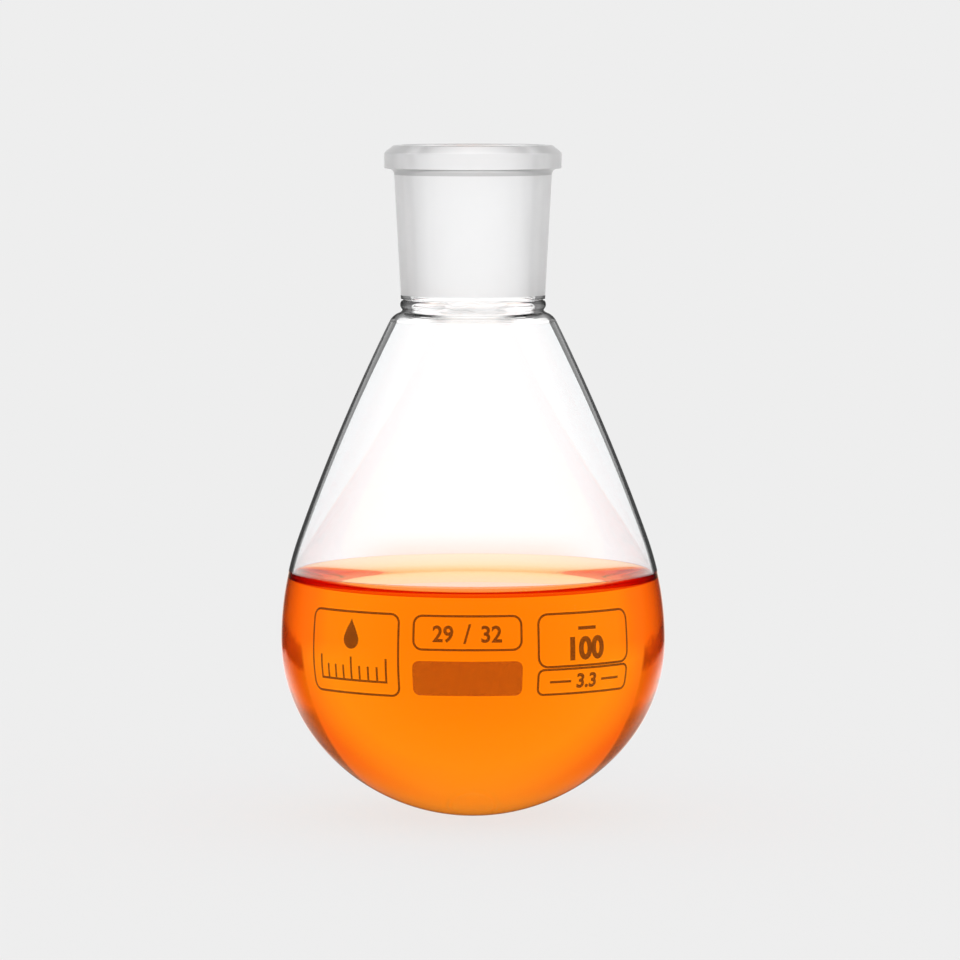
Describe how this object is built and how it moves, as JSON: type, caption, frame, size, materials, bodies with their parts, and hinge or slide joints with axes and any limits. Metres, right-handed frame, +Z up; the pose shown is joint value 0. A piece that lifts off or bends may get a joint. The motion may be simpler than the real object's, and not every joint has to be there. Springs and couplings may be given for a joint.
{
  "type": "pear-shaped flask",
  "caption": "Pear-shaped glass flask with a rimmed conical ground socket at the top, a round closed bottom, small printed panels and an orange liquid filling to just above its widest part.",
  "frame": {"origin": "centre of the socket's flat top face, on the axis", "axes": "+Z up along the axis, out of the mouth; -Y towards the printed panels"},
  "size_m": [0.0806, 0.0807, 0.1404],
  "materials": {
    "ground_glass": "clear borosilicate glass, its bore ground to a matt white",
    "clear_glass": "clear, fire-polished borosilicate glass",
    "liquid": "clear orange watery liquid",
    "print_lines": "fired brown enamel, thin lines",
    "print_solid": "fired brown enamel, slightly translucent"
  },
  "bodies": {
    "root": {"ground_socket": "ground_glass", "seal_ring": "clear_glass", "pear_bulb": "clear_glass", "orange_liquid": "liquid", "maker_panel": "print_lines", "joint_size_panel": "print_lines", "writing_patch": "print_solid", "capacity_panel": "print_lines", "glass_type_panel": "print_lines"}
  },
  "joints": []
}
